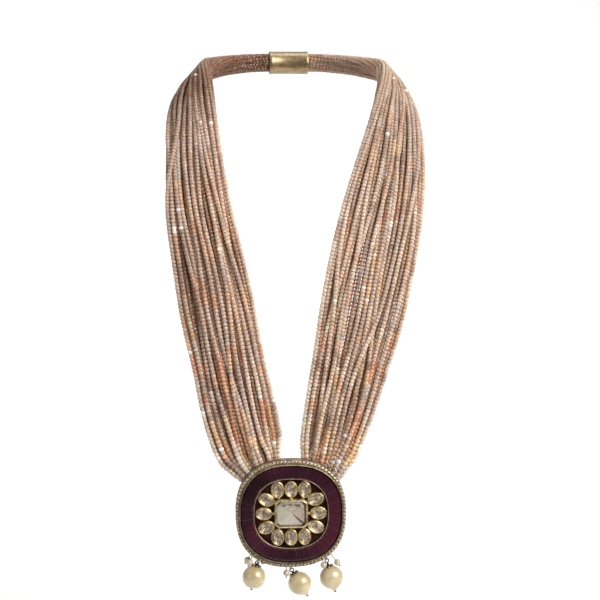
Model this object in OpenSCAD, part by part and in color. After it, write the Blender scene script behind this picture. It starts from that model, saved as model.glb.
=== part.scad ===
// A kundan necklace as it hangs round a neck: two bundles of strung beads, a stone-set pendant
// and three pearl drops. Millimetres, +Z up, -Y towards the viewer, +X to the viewer's right.
// The origin is the point at the back of the neck where the clasp rests.

/* [Pendant] */
// Width of the pendant over its stone-set rim
pendant_w = 57.4; // [56:0.2:60]
// Height of the pendant over its rim
pendant_h = 56.6; // [55:0.2:59]
// Depth of the pendant from its back to the front lip
pendant_d = 8.2; // [7.8:0.1:9]
// Squareness of the outline, where 2 is an ellipse
outline_power = 2.4; // [2.2:0.1:2.6]
// Width of the rim at the sides
rim_side = 2.2; // [2.1:0.1:2.5]
// Width of the rim at the top and bottom
rim_top = 2.95; // [2.8:0.05:3.2]
// Thickness of the back plate
plate_t = 2.0; // [1.6:0.1:2.2]

/* [Stones] */
// Number of small clear stones round the rim
pave_count = 88; // [80:1:90]
// Width of one of the small clear stones
pave_w = 1.6; // [1.4:0.05:1.65]
// Number of tapered red stones in the band
ruby_count = 52; // [44:1:60]
// Gap between neighbouring red stones
ruby_gap = 0.14; // [0.12:0.02:0.3]
// Half width of the wire line inside the red band
line_x = 19.6; // [19.4:0.1:19.9]
// Half height of the wire line inside the red band
line_z = 18.4; // [18.2:0.1:18.7]
// Width of one oval setting
oval_w = 6.6; // [6.2:0.1:6.7]
// Length of one oval setting
oval_l = 8.8; // [8.2:0.1:8.9]
// Width of the metal round an oval stone
oval_wall = 1.1; // [0.8:0.05:1.2]
// Width of the centre setting
centre_w = 17.4; // [16.8:0.1:17.6]
// Height of the centre setting
centre_h = 15.2; // [14.8:0.1:15.3]
// Width of the metal round the centre stone
centre_wall = 1.2; // [1:0.1:1.4]

/* [Pearls] */
// Radius of the large drop pearls
pearl_r = 6.1; // [5.6:0.1:6.2]
// Length of the nib below a drop pearl
nib_l = 1.5; // [1:0.1:1.8]
// Radius of the seed pearls
seed_r = 1.7; // [1.4:0.05:1.7]
// Radius of the pin through a large pearl
pin_r = 0.35; // [0.3:0.01:0.38]
// Radius of the wire of the small rings
ring_wire = 0.3; // [0.25:0.01:0.32]
// Radius of the small rings to the middle of their wire
ring_r = 1.0; // [1:0.02:1.1]

/* [Strands] */
// Ribs that the strands make round a bundle
rib_count = 12; // [8:2:16]
// Depth of the hollows between the ribs
rib_depth = 0.06; // [0:0.01:0.1]
// Squareness of a bundle's section, where 2 is an ellipse
bundle_power = 2.6; // [2.2:0.1:3]

/* [Clasp] */
// Length of the clasp at the back of the neck
clasp_l = 22; // [20:1:26]
// Radius of the clasp
clasp_r = 6.5; // [6.4:0.05:6.6]

/* [Hidden] */

// Colours of the real thing
gold = [0.85, 0.74, 0.48];
clear = [0.93, 0.93, 0.9];
champagne = [0.86, 0.82, 0.72];
ruby = [0.3, 0.05, 0.12];
enamel = [0.1, 0.02, 0.04];
pearl = [0.88, 0.82, 0.62];
beads_colour = [0.78, 0.68, 0.62];

// Where the pendant's back plate has its middle
pendant_at = [-9, -114.8, -235.5];
// Clearance between a stone and its setting
fit = 0.15;
// How far soldered pieces run into each other
weld = 0.3;

// Steps round the pendant's outlines
outline_steps = 88;
// Heights above the back of the pendant
ledge_h = 5.0;
guard_h = 5.9;
channel_h = 3.2;
line_h = 6.6;
ruby_top = 7.4;
ruby_edge = 6.5;
field_top = 4.6;
oval_top = 6.4;
centre_top = 8.0;

// Parts of the way across the rim where its walls begin or end
plate_part = 0.06;
guard_part = 0.08;
lip_part = 0.82;
// The small stones' line across the rim, their height over the ledge and how far they lean out
pave_part = 0.44;
pave_up = 1.25;
pave_lean = 32;

// Width of the red band's seat outside and inside the wire line, and width of that wire
seat_out = 2;
seat_in = 1.2;
line_t = 0.45;
// Points round an oval setting, and the corner cut of the centre setting
oval_points = 32;
centre_cut = 2.6;
centre_inner_cut = centre_cut - centre_wall / 2;

// Ends of the two bars on the back, measured from the pendant's middle, and their size
bar_ends = [[-24.6, -2.4], [5.0, 26.4]];
bar_z = 11.4;
bar_h = 2.8;
bar_d = 5.8;

// Oval settings, with x and z from the pendant's middle and the turn of the long side from upright
ovals = [
    [-7.1, 12.5, 0], [0, 12.6, 0], [7.1, 12.5, 0],
    [12.9, 7.3, -70], [14.3, 0, 90], [12.9, -7.3, 70],
    [7.1, -12.5, 0], [0, -12.6, 0], [-7.1, -12.5, 0],
    [-12.9, -7.3, -70], [-14.3, 0, 90], [-12.9, 7.3, 70]];

// Gold grains between the oval settings and the centre setting, with x, z and radius
grains = [
    [-6.3, 7.9, 0.5], [0, 7.85, 0.5], [6.3, 7.9, 0.5],
    [9.1, 5.6, 0.55], [9.3, 0, 0.7], [9.1, -5.6, 0.55],
    [6.3, -7.9, 0.5], [0, -7.85, 0.5], [-6.3, -7.9, 0.5],
    [-9.1, -5.6, 0.55], [-9.3, 0, 0.7], [-9.1, 5.6, 0.55]];

// Drops, with x and z of the ring under the rim, the lean to the right, the way from
// that ring to the middle of the pearl and the length of the pearl's nib
drops = [
    [-26.4, -260.5, -12, 8.9, 0.3],
    [-9.3, -264.7, 31, 9.6, nib_l],
    [9.5, -259.9, 15, 10.6, nib_l]];
drop_y = -118.2;

// Seed pearls, with the place of each middle and the place in the rim where its pin starts
seeds = [
    [-30.6, -120.0, -261.0, -28.6, -118.4, -256.6],
    [-31.6, -116.3, -260.5, -29.0, -116.6, -256.2],
    [-23.0, -112.6, -262.3, -23.0, -116.4, -259.6],
    [-11.5, -120.0, -267.0, -11.4, -118.8, -262.4],
    [8.0, -120.2, -263.2, 7.4, -118.8, -259.0],
    [15.2, -119.6, -262.0, 10.8, -118.4, -256.4]];
seed_pin_r = 0.28;
// Radius of the ball that ends a seed pearl's pin
seed_stop_r = 0.45;

// The bundles' sections from the clasp to the pendant, with the middle x, y, z, the
// direction away from the body, the half width and the half thickness
bundle_left_rows = [
    [-8, 6.5, 0, 0, 1, 0, 5.4, 5.4],
    [-13, 6.5, 0, 0, 1, 0, 5.4, 5.4],
    [-25, 3, -0.5, -0.4, 0.9, 0.1, 5.5, 5.4],
    [-40, -10, -2.5, -0.8, 0.6, 0.2, 5.7, 5.3],
    [-49.5, -27, -5.5, -0.8, 0.2, 0.6, 6.8, 5],
    [-54.2, -42, -11.6, -0.6, -0.2, 0.8, 9.7, 4.7],
    [-57, -55, -22.5, -0.4, -0.6, 0.7, 12.9, 4.2],
    [-57.6, -68, -38, -0.2, -0.8, 0.5, 14.6, 3.9],
    [-57, -80, -58, -0.1, -0.9, 0.4, 16.2, 3.7],
    [-54.8, -90, -82, 0, -0.9, 0.3, 18, 3.5],
    [-50.2, -98, -108, 0, -0.9, 0.3, 19.4, 3.4],
    [-45.5, -104, -134, 0, -1, 0.2, 20.2, 3.4],
    [-40.8, -108, -158, 0, -1, 0.2, 19.2, 3.4],
    [-36, -111, -180, 0, -1, 0.1, 20, 3.2],
    [-30.8, -111.7, -200, 0, -1, 0, 18.8, 2.9],
    [-27.6, -111.7, -208, 0, -1, 0, 15.8, 2.8],
    [-24.4, -111.7, -215, 0, -1, 0, 12, 2.8],
    [-23.4, -111.7, -219.4, 0, -1, 0, 10.8, 2.8],
    [-23.4, -111.7, -221, 0, -1, 0, 10.6, 2.8]];
bundle_right_rows = [
    [8, 6.5, 0, 0, 1, 0, 5.4, 5.4],
    [13, 6.5, 0, 0, 1, 0, 5.4, 5.4],
    [25, 3, -0.5, 0.4, 0.9, 0.1, 5.5, 5.4],
    [40, -10, -2.5, 0.8, 0.6, 0.2, 5.7, 5.3],
    [49.5, -27, -5.5, 0.8, 0.2, 0.6, 6.6, 5],
    [52.8, -42, -11.8, 0.6, -0.2, 0.8, 8.9, 4.7],
    [53.4, -55, -22.5, 0.4, -0.6, 0.7, 12.2, 4.2],
    [51.4, -68, -38, 0.2, -0.8, 0.5, 15.8, 3.9],
    [47.4, -80, -58, 0.1, -0.9, 0.4, 19.4, 3.7],
    [41.8, -90, -82, 0, -0.9, 0.3, 22.2, 3.5],
    [35.4, -98, -108, 0, -0.9, 0.3, 23, 3.4],
    [29.4, -104, -134, 0, -1, 0.2, 22.8, 3.4],
    [23.4, -108, -158, 0, -1, 0.2, 20.6, 3.4],
    [17.6, -111, -180, 0, -1, 0.1, 19, 3.2],
    [12.4, -111.7, -200, 0, -1, 0, 16.6, 2.9],
    [10, -111.7, -208, 0, -1, 0, 14.4, 2.8],
    [7.8, -111.7, -215, 0, -1, 0, 11.8, 2.8],
    [6.8, -111.7, -219.4, 0, -1, 0, 10.6, 2.8],
    [6.8, -111.7, -221, 0, -1, 0, 10.4, 2.8]];
// Rings between two sections, and points round a ring
ring_steps = 2;
ring_points = 4 * rib_count;

// Sets x and y of a drawing to the pendant's x and z, with heights towards the viewer
module on_pendant() {
    translate(pendant_at)
        rotate([90, 0, 0])
            children();
}

// One point of a rounded outline with half width a and half height b, at an angle
function outline_point(a, b, angle) =
    let (
        reach = pow(abs(cos(angle)) / a, outline_power) + pow(abs(sin(angle)) / b, outline_power),
        r = pow(reach, -1 / outline_power)
    )
    [r * cos(angle), r * sin(angle)];

// The outline at a part of the way across the rim, from 0 outside to 1 at the red band
function rim_point(part, angle) =
    outline_point(pendant_w / 2 - part * rim_side, pendant_h / 2 - part * rim_top, angle);
function rim_outline(part) =
    [for (i = [0 : outline_steps - 1]) rim_point(part, i * 360 / outline_steps)];
function line_outline(inset) =
    [for (i = [0 : outline_steps - 1])
        outline_point(line_x - inset, line_z - inset, i * 360 / outline_steps)];

function ellipse_outline(a, b, count) =
    [for (i = [0 : count - 1]) [a * cos(i * 360 / count), b * sin(i * 360 / count)]];

// A rectangle with its corners cut off
function cut_corner_outline(w, h, cut) = [
    [w / 2, cut - h / 2], [w / 2, h / 2 - cut], [w / 2 - cut, h / 2], [cut - w / 2, h / 2],
    [-w / 2, h / 2 - cut], [-w / 2, cut - h / 2], [cut - w / 2, -h / 2], [w / 2 - cut, -h / 2]];

// A ring wall between two outlines, from one height to another
module wall(outer, inner, from, to) {
    translate([0, 0, from])
        linear_extrude(to - from)
            difference() {
                polygon(outer);
                polygon(inner);
            }
}

// A closed solid over rings of points, with the first and last ring filled
module loft(rings) {
    n = len(rings[0]);
    last = len(rings) - 1;
    points = [for (ring = rings) each ring];
    sides = [for (k = [0 : last - 1]) for (i = [0 : n - 1])
        let (j = (i + 1) % n)
        each [[k * n + i, k * n + n + i, k * n + j], [k * n + j, k * n + n + i, k * n + n + j]]];
    ends = [[for (i = [0 : n - 1]) i], [for (i = [n - 1 : -1 : 0]) last * n + i]];
    polyhedron(points, concat(sides, ends), convexity = 6);
}

function at_height(outline, h) = [for (p = outline) [p[0], p[1], h]];
function scaled(outline, s) = [for (p = outline) p * s];

// A cut stone over an outline: a flat back, a girdle and a table inside one row of facets
module cut_stone(outline, back, table, back_h, girdle_h, top_h) {
    loft([
        at_height(scaled(outline, back), back_h),
        at_height(outline, girdle_h),
        at_height(scaled(outline, table), top_h)]);
}

module oval_place(i) {
    translate([ovals[i][0], ovals[i][1], 0])
        rotate([0, 0, ovals[i][2]])
            children();
}

// A round wire or post between two points, sunk by the caller into what it is soldered to
module post(from, to, r) {
    way = to - from;
    turn = acos(way[2] / norm(way));
    swing = atan2(way[1], way[0]);
    translate(from)
        rotate([0, turn, swing])
            cylinder(h = norm(way), r = r, $fn = 24);
}

function unit(v) = v / norm(v);
function seed_middle(i) = [seeds[i][0], seeds[i][1], seeds[i][2]];
function seed_root(i) = [seeds[i][3], seeds[i][4], seeds[i][5]];
function seed_end(i) =
    seed_middle(i) + unit(seed_middle(i) - seed_root(i)) * (seed_r + seed_stop_r);

// The soldered metal of the rim, without what is on its face
module rim_metal() {
    linear_extrude(plate_t) polygon(rim_outline(plate_part));
    wall(rim_outline(0), rim_outline(lip_part), plate_t / 4, ledge_h);
    wall(rim_outline(0), rim_outline(guard_part), ledge_h - weld, guard_h);
    wall(rim_outline(lip_part), rim_outline(1), plate_t - weld, pendant_d);
    wall(line_outline(-seat_out), line_outline(seat_in), plate_t - weld, channel_h);
    wall(line_outline(0), line_outline(line_t), channel_h - weld, line_h);
}

module settings_metal() {
    for (i = [0 : len(ovals) - 1])
        oval_place(i)
            wall(
                ellipse_outline(oval_w / 2, oval_l / 2, oval_points),
                ellipse_outline(oval_w / 2 - oval_wall, oval_l / 2 - oval_wall, oval_points),
                plate_t - weld, oval_top);
    wall(
        cut_corner_outline(centre_w, centre_h, centre_cut),
        cut_corner_outline(centre_w - 2 * centre_wall, centre_h - 2 * centre_wall, centre_inner_cut),
        plate_t - weld, centre_top);
    for (g = grains)
        translate([g[0], g[1], plate_t - weld])
            cylinder(h = oval_top - plate_t, r = g[2], $fn = 24);
}

module back_bars() {
    for (ends = bar_ends)
        translate([ends[0], bar_z, -bar_d])
            cube([ends[1] - ends[0], bar_h, bar_d + weld]);
}

module pendant_mount() {
    color(gold) {
        on_pendant() {
            rim_metal();
            settings_metal();
            back_bars();
        }
        for (d = drops)
            translate([d[0], drop_y, d[1]])
                rotate([0, 90 - d[2], 0])
                    small_ring();
        for (i = [0 : len(seeds) - 1]) {
            post(seed_root(i), seed_end(i), seed_pin_r);
            translate(seed_end(i)) sphere(r = seed_stop_r, $fn = 24);
        }
    }
}

module small_ring() {
    rotate_extrude($fn = 32)
        translate([ring_r, 0])
            circle(r = ring_wire, $fn = 16);
}

// The small clear stones lie in the ledge of the rim and lean outwards
module pave_stones() {
    color(clear)
        on_pendant()
            for (i = [0 : pave_count - 1]) {
                angle = (i + 0.5) * 360 / pave_count;
                p = rim_point(pave_part, angle);
                q = rim_point(pave_part, angle + 1) - rim_point(pave_part, angle - 1);
                translate([p[0], p[1], ledge_h + pave_up])
                    rotate([0, 0, atan2(-q[0], q[1])])
                        rotate([0, pave_lean, 0])
                            cut_stone(ellipse_outline(pave_w / 2, pave_w / 2, 8),
                                0.3, 0.56, -0.75, 0, 0.32);
            }
}

// One tapered red stone between two angles round the band
module ruby_stone(start, end) {
    outer_x = pendant_w / 2 - rim_side - fit;
    outer_z = pendant_h / 2 - rim_top - fit;
    inner_x = line_x + fit;
    inner_z = line_z + fit;
    chamfer = 0.55;
    trim = 0.16 * (end - start);
    girdle = [
        outline_point(inner_x, inner_z, start), outline_point(outer_x, outer_z, start),
        outline_point(outer_x, outer_z, end), outline_point(inner_x, inner_z, end)];
    table = [
        outline_point(inner_x + chamfer, inner_z + chamfer, start + trim),
        outline_point(outer_x - chamfer, outer_z - chamfer, start + trim),
        outline_point(outer_x - chamfer, outer_z - chamfer, end - trim),
        outline_point(inner_x + chamfer, inner_z + chamfer, end - trim)];
    loft([at_height(girdle, channel_h + fit), at_height(girdle, ruby_edge), at_height(table, ruby_top)]);
}

module ruby_band() {
    step = 360 / ruby_count;
    // The gap is widest where the band is narrowest
    gap_angle = ruby_gap / line_z * 180 / PI;
    color(ruby)
        on_pendant()
            for (i = [0 : ruby_count - 1])
                ruby_stone(i * step + gap_angle / 2, (i + 1) * step - gap_angle / 2);
}

// The dark ground between the settings, open round each of them
module enamel_field() {
    color(enamel)
        on_pendant()
            translate([0, 0, plate_t + fit])
                linear_extrude(field_top - plate_t - fit)
                    difference() {
                        polygon(line_outline(seat_in + fit));
                        for (i = [0 : len(ovals) - 1])
                            oval_place(i)
                                polygon(ellipse_outline(oval_w / 2 + fit, oval_l / 2 + fit, oval_points));
                        polygon(cut_corner_outline(centre_w + 2 * fit, centre_h + 2 * fit, centre_cut));
                        for (g = grains)
                            translate([g[0], g[1]]) circle(r = g[2] + fit, $fn = 24);
                    }
}

// The oval stones have a flat back, a low girdle and a table inside twelve facets
module oval_stone(i) {
    a = oval_w / 2 - oval_wall - fit;
    b = oval_l / 2 - oval_wall - fit;
    color(champagne)
        on_pendant()
            oval_place(i)
                cut_stone(ellipse_outline(a, b, 12),
                    0.5, 0.62, plate_t + fit, oval_top - 0.8, oval_top + 0.1);
}

// The centre stone's back facets meet almost in a point under its table
module centre_stone() {
    w = centre_w - 2 * centre_wall - 2 * fit;
    h = centre_h - 2 * centre_wall - 2 * fit;
    color(clear)
        on_pendant()
            cut_stone(cut_corner_outline(w, h, 0.75 * centre_cut),
                0.08, 0.8, plate_t + fit, centre_top - 1.1, centre_top + 0.3);
}

// Half of the outline of a drop pearl, round above and drawn out to a nib below
function pearl_profile(nib) =
    let (
        low = nib > 0.5 ? -58 : -88,
        round_part = [for (a = [86 : -8 : low]) [pearl_r * cos(a), pearl_r * sin(a)]],
        nib_end = -pearl_r - nib
    )
    concat([[0, pearl_r]], round_part, [[2 * pin_r, nib_end + pin_r], [0, nib_end]]);

// Moves a drawing of a drop, hung from its ring, to its place
module hang_drop(i) {
    translate([drops[i][0], drop_y, drops[i][1]])
        rotate([0, -drops[i][2], 0])
            children();
}

// The middle of the eye of a drop's pin below the ring that carries it, a small gap apart
eye_gap = 0.1;
eye_z = -(2 * ring_r - 2 * ring_wire - eye_gap);
// Radius and height of the head that holds the pearl on the pin
head_r = 0.6;
head_h = 0.4;

module drop_pearl(i) {
    color(pearl)
        hang_drop(i)
            translate([0, 0, -drops[i][3]])
                difference() {
                    rotate_extrude($fn = 64) polygon(pearl_profile(drops[i][4]));
                    translate([0, 0, -2 * pearl_r])
                        cylinder(h = 4 * pearl_r, r = pin_r + eye_gap, $fn = 24);
                }
}

module drop_pin(i) {
    foot = -drops[i][3] - pearl_r - drops[i][4] - eye_gap;
    color(gold)
        hang_drop(i) {
            translate([0, 0, eye_z])
                rotate([90, 0, 0])
                    small_ring();
            translate([0, 0, foot - head_h / 2])
                cylinder(h = eye_z - ring_r - foot + head_h / 2, r = pin_r, $fn = 24);
            translate([0, 0, foot - head_h])
                cylinder(h = head_h, r = head_r, $fn = 24);
        }
}

module seed_pearl(i) {
    way = unit(seed_middle(i) - seed_root(i));
    color(pearl)
        translate(seed_middle(i))
            rotate([0, acos(way[2]), atan2(way[1], way[0])])
                rotate_extrude($fn = 48)
                    difference() {
                        circle(r = seed_r, $fn = 48);
                        translate([-2 * seed_r, -2 * seed_r])
                            square([2 * seed_r + seed_pin_r + eye_gap, 4 * seed_r]);
                    }
}

// A value between rows a and b, carried on smoothly from the rows before and after
function smooth_row(before, a, b, after, t) =
    0.5 * (2 * a + (b - before) * t + (2 * before - 5 * a + 4 * b - after) * t * t
        + (3 * a - before - 3 * b + after) * t * t * t);

function smooth_rows(rows) =
    let (last = len(rows) - 1)
    concat(
        [for (i = [0 : last - 1]) for (k = [0 : ring_steps - 1])
            smooth_row(rows[max(i - 1, 0)], rows[i], rows[i + 1], rows[min(i + 2, last)], k / ring_steps)],
        [rows[last]]);

function middle_of(row) = [row[0], row[1], row[2]];
function away_of(row) = [row[3], row[4], row[5]];

// How far out a bundle reaches at an angle round its section, with ribs for the strands
function bundle_reach(angle) =
    pow(pow(abs(cos(angle)), bundle_power) + pow(abs(sin(angle)), bundle_power), -1 / bundle_power)
    * (1 - rib_depth * (0.5 - 0.5 * cos(angle * rib_count)));

// The way a bundle runs at a row, where the two ends lie square to their first and last section
function way_at(rows, i) =
    let (
        last = len(rows) - 1,
        from = i == last ? last - ring_steps : max(i - 1, 0),
        to = i == 0 ? ring_steps : min(i + 1, last)
    )
    unit(middle_of(rows[to]) - middle_of(rows[from]));

// One ring of points round a bundle, across its way and away from the body
function bundle_ring(rows, i) =
    let (
        way = way_at(rows, i),
        across = unit(cross(way, away_of(rows[i]))),
        out = cross(across, way)
    )
    [for (k = [0 : ring_points - 1])
        let (
            angle = k * 360 / ring_points,
            r = bundle_reach(angle)
        )
        middle_of(rows[i]) + across * (r * cos(angle) * rows[i][6]) + out * (r * sin(angle) * rows[i][7])];

// The strands of one side, fused into one solid with a rib for each few strands
module bundle(rows) {
    smooth = smooth_rows(rows);
    color(beads_colour)
        loft([for (i = [0 : len(smooth) - 1]) bundle_ring(smooth, i)]);
}

module bundle_left() {
    bundle(bundle_left_rows);
}

module bundle_right() {
    bundle(bundle_right_rows);
}

// The clasp is a barrel with a cup at each end for the gathered strands
module clasp() {
    cup_r = clasp_r - 0.45;
    half = clasp_l / 2;
    cup_d = half - bundle_right_rows[0][0] + fit;
    color(gold)
        translate([0, clasp_r, 0])
            rotate([0, 90, 0])
                difference() {
                    translate([0, 0, -half]) cylinder(h = clasp_l, r = clasp_r, $fn = 48);
                    translate([0, 0, half - cup_d]) cylinder(h = cup_d + 1, r = cup_r, $fn = 48);
                    translate([0, 0, -half - 1]) cylinder(h = cup_d + 1, r = cup_r, $fn = 48);
                }
}

pendant_mount();
pave_stones();
ruby_band();
enamel_field();
centre_stone();
oval_stone(0);  // oval_stone_01
oval_stone(1);  // oval_stone_02
oval_stone(2);  // oval_stone_03
oval_stone(3);  // oval_stone_04
oval_stone(4);  // oval_stone_05
oval_stone(5);  // oval_stone_06
oval_stone(6);  // oval_stone_07
oval_stone(7);  // oval_stone_08
oval_stone(8);  // oval_stone_09
oval_stone(9);  // oval_stone_10
oval_stone(10);  // oval_stone_11
oval_stone(11);  // oval_stone_12
drop_pearl(0);  // drop_pearl_left
drop_pearl(1);  // drop_pearl_middle
drop_pearl(2);  // drop_pearl_right
drop_pin(0);  // drop_pin_left
drop_pin(1);  // drop_pin_middle
drop_pin(2);  // drop_pin_right
seed_pearl(0);  // seed_pearl_1
seed_pearl(1);  // seed_pearl_2
seed_pearl(2);  // seed_pearl_3
seed_pearl(3);  // seed_pearl_4
seed_pearl(4);  // seed_pearl_5
seed_pearl(5);  // seed_pearl_6
bundle_left();
bundle_right();
clasp();
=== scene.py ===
import bpy
import bmesh
import numpy as np
from math import acos, cos, hypot, pi, radians, sin
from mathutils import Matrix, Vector


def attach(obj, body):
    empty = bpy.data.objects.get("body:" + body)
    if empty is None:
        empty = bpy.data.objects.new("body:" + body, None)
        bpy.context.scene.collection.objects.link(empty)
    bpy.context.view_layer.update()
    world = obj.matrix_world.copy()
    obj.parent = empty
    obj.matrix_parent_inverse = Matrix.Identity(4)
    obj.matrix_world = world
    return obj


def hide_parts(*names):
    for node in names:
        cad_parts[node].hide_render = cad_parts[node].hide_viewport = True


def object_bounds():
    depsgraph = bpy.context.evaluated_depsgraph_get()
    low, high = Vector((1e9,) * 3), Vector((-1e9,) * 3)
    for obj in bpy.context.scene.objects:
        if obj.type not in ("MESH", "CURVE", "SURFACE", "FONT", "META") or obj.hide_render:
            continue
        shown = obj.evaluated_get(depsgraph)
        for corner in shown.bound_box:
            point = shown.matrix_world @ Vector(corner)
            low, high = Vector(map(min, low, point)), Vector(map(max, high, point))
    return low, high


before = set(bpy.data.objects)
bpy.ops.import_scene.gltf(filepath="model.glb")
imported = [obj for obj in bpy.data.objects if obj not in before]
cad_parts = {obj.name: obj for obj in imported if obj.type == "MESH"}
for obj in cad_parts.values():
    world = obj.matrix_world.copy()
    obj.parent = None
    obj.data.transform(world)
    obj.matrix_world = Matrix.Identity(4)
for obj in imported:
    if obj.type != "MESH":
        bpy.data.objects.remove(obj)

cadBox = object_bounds()
mm = 0.001  # lengths below are millimetres, and Blender's are metres


def addObject(name, data):
    thing = bpy.data.objects.new(name, data)
    bpy.context.collection.objects.link(thing)
    return thing


def lookAlong(thing, way):
    thing.rotation_euler = Vector(way).to_track_quat("-Z", "Y").to_euler()


# Camera: level with the upper strands, to the left of the pendant, looking slightly down
cameraView = dict(place=(-90.06, -1099.43, -29.65), aside=5.0, down=5.5, lens=115.385,
                  sensor=36.0, near=0.01)


def placeCamera(place, aside, down, lens, sensor, near):
    data = bpy.data.cameras.new("camera")
    data.lens, data.sensor_width, data.clip_start = lens, sensor, near
    camera = addObject("camera", data)
    camera.location = Vector(place) * mm
    aside, down = radians(aside), radians(down)
    lookAlong(camera, (cos(down) * sin(aside), cos(down) * cos(aside), -sin(down)))
    bpy.context.scene.camera = camera


placeCamera(**cameraView)
print("camera placed")


# Helpers for nodes. An input takes a value or another node's output
def setInputs(tree, node, inputs):
    for key, value in inputs.items():
        if isinstance(value, bpy.types.NodeSocket):
            tree.links.new(value, node.inputs[key])
        else:
            node.inputs[key].default_value = value


def addNode(tree, kind, inputs=None, **settings):
    # gives the new node's outputs
    node = tree.nodes.new(kind if "Node" in kind else "ShaderNode" + kind)
    for key, value in settings.items():
        setattr(node, key, value)
    setInputs(tree, node, inputs or {})
    return node.outputs


def newMaterial(name, **values):
    material = bpy.data.materials.new(name)
    material.use_nodes = True
    paint(material.node_tree, **values)
    return material, material.node_tree


def paint(tree, **values):
    # the shader's own sockets, such as Coat_Weight
    shader = tree.nodes["Principled BSDF"]
    setInputs(tree, shader, {key.replace("_", " "): value for key, value in values.items()})


def objectCoords(tree):
    return addNode(tree, "TexCoord")["Object"]


def addNoise(tree, scale, detail=3.0, roughness=0.5):
    return addNode(tree, "TexNoise", {"Vector": objectCoords(tree), "Scale": scale,
                                      "Detail": detail, "Roughness": roughness})["Fac"]


def addRamp(tree, value, stops):
    ramp = tree.nodes.new("ShaderNodeValToRGB")
    elements = ramp.color_ramp.elements
    while len(elements) < len(stops):
        elements.new(0.5)
    for element, (place, colour) in zip(elements, stops):
        element.position, element.color = place, colour + (1.0,)
    tree.links.new(value, ramp.inputs["Fac"])
    return ramp.outputs["Color"]


def addRange(tree, value, low, high, start=0.3, end=0.7):
    return addNode(tree, "MapRange", {"Value": value, "From Min": start, "From Max": end,
                                      "To Min": low, "To Max": high})["Result"]


def addDot(tree, vector, way):
    return addNode(tree, "VectorMath", {0: vector, 1: way}, operation="DOT_PRODUCT")["Value"]


def multiply(tree, first, second, factor=1.0):
    return addNode(tree, "Mix", {0: factor, 6: first, 7: second}, data_type="RGBA",
                   blend_type="MULTIPLY")[2]


def addBump(tree, height, strength, distance):
    return addNode(tree, "Bump", {"Height": height, "Strength": strength,
                                  "Distance": distance * mm})["Normal"]


# Metals: a pale and a deep tone, roughness, how metallic and how deeply beaten. One with painted shade
# below has two heights and the part of its light left at the lower one
metals = dict(
    paleGold=((0.86, 0.73, 0.46), (0.44, 0.34, 0.18), 0.26, 0.88, 0.12),
    wornRimGold=((0.44, 0.34, 0.20), (0.32, 0.24, 0.14), 0.34, 0.85),
    pinkGold=((0.86, 0.65, 0.52), (0.64, 0.45, 0.35), 0.30, 0.8),
    # painted light: the rim's lip is paler at the top and darker below
    topLitRimGold=((0.58, 0.48, 0.32), (0.30, 0.23, 0.13), 0.34, 0.8, 0.12, (-0.232, -0.209, 0.68)),
    # painted shade: the rim's outer wall is dark metal, darker still below
    shadedRimWallMetal=((0.28, 0.22, 0.15), (0.14, 0.10, 0.07), 0.40, 0.75, 0.05, (-0.232, -0.207, 0.4)),
    jointFoil=((0.46, 0.38, 0.42), (0.26, 0.19, 0.23), 0.36, 0.6),
    # dark metal for the drop pins and caps; on the seat under the red stones it is painted shade
    darkMetalAndSeatShade=((0.10, 0.065, 0.035), (0.05, 0.03, 0.018), 0.45, 0.7))
grimeTones = [(0.30, (0.55, 0.5, 0.42)), (0.55, (1, 1, 1))]


def metalMaterial(name, pale, deep, rough, metallic, beaten=0.05, shadeBelow=None):
    material, tree = newMaterial(name)
    fine = addNoise(tree, 1900, 5.0, 0.6)
    worn = addRamp(tree, addNoise(tree, 420, 4.0), [(0.38, deep), (0.60, pale)])
    colour = multiply(tree, worn, addRamp(tree, fine, grimeTones), 0.6)
    # painted shade: the colour darkens towards the lower height
    if shadeBelow:
        low, high, left = shadeBelow
        place = addNode(tree, "SeparateXYZ", {"Vector": objectCoords(tree)})
        colour = multiply(tree, colour, addRange(tree, place["Z"], left, 1.0, low, high))
    paint(tree, Metallic=metallic, Base_Color=colour,
          Roughness=addRange(tree, fine, rough - 0.06, rough + 0.12),
          Normal=addBump(tree, addNoise(tree, 1100, 2.0), 0.7, beaten))
    return material


# Red glass, with painted light: redder and lighter towards the right and below
rubyLook = dict(
    tones=[(0.36, (0.014, 0.0035, 0.007)), (0.55, (0.030, 0.0062, 0.015)),
           (0.74, (0.056, 0.0085, 0.020))],
    streaks=[(0.35, (0.94, 0.94, 0.94)), (0.7, (1.09, 1.06, 1.09))],
    way=(1.0, 0.0, -0.55), side=(-0.12, 0.14, 0.084, 0.138), rough=(0.16, 0.3))


def rubyMaterial(tones, streaks, way, side, rough):
    material, tree = newMaterial("plumRedGlass", Coat_Weight=0.5, Coat_Roughness=0.05,
                                 Specular_IOR_Level=0.3)
    cloud, streak = addNoise(tree, 42, 2.0), addNoise(tree, 900, 3.0)
    # painted light: lighter and redder towards the right and the bottom
    aside = addRange(tree, addDot(tree, objectCoords(tree), way), *side)
    both = addNode(tree, "Math", {0: cloud, 1: aside}, operation="ADD")["Value"]
    paint(tree, Roughness=addRange(tree, cloud, *rough), Normal=addBump(tree, streak, 0.02, 0.02),
          Base_Color=multiply(tree, addRamp(tree, both, tones), addRamp(tree, streak, streaks)))
    return material


def cloudyMaterial(name, broad, fine, tones, rough, bump, **values):
    # tones that follow a broad noise, and a roughness and bump that follow a fine one
    material, tree = newMaterial(name, **values)
    grain = addNoise(tree, *fine)
    paint(tree, Base_Color=addRamp(tree, addNoise(tree, *broad), tones),
          Roughness=addRange(tree, grain, *rough), Normal=addBump(tree, grain, *bump))
    return material


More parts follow.
